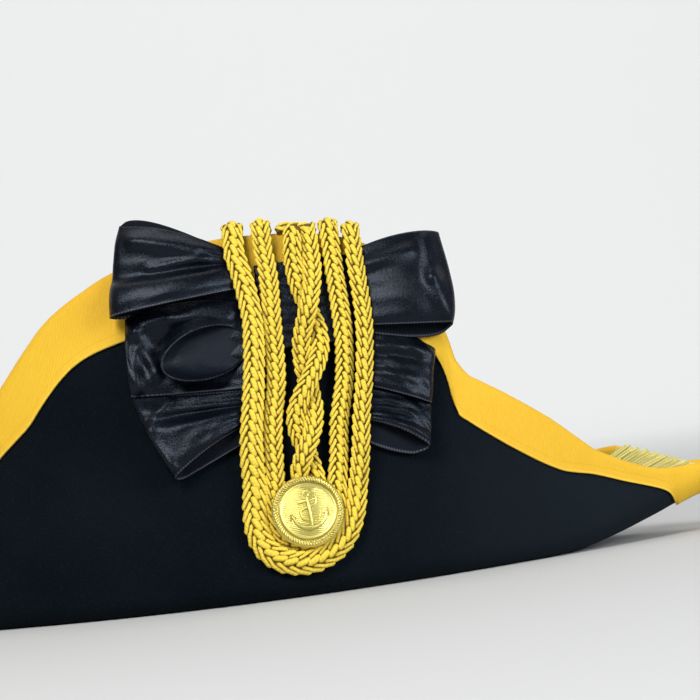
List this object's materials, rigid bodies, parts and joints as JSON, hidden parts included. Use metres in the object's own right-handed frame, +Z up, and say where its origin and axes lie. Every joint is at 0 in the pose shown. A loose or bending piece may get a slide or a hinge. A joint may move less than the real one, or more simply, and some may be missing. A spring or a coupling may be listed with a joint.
{
  "type": "bicorne hat",
  "caption": "Felt hat worn fore and aft: a domed crown between turned-up flaps bound with ribbon, a gathered cockade under looped cords and a button, and bullion tassels at the points.",
  "frame": {"origin": "under the middle of the hat, trimmings included, in the plane that it rests on", "axes": "+X to the front point, +Z up; the cockade is on the -Y side, which is the wearer's right"},
  "size_m": [0.423, 0.1852, 0.1536],
  "materials": {
    "felt": "matt felt, near black",
    "ribbon": "ribbed ribbon, golden yellow",
    "satin": "satin ribbon, blue black",
    "braid": "braided cord, golden yellow",
    "gilt": "gilt, softly polished",
    "bullion": "coiled metal thread, greenish gold"
  },
  "bodies": {
    "root": {"crown": "felt", "brim": "felt", "binding": "ribbon", "ribbon_rear": "satin", "ribbon_front": "satin", "cord_outer": "braid", "cord_inner": "braid", "cord_twist": "braid", "cord_cross": "braid", "button": "gilt", "bullion_front": "bullion", "bullion_rear": "bullion"}
  },
  "joints": []
}
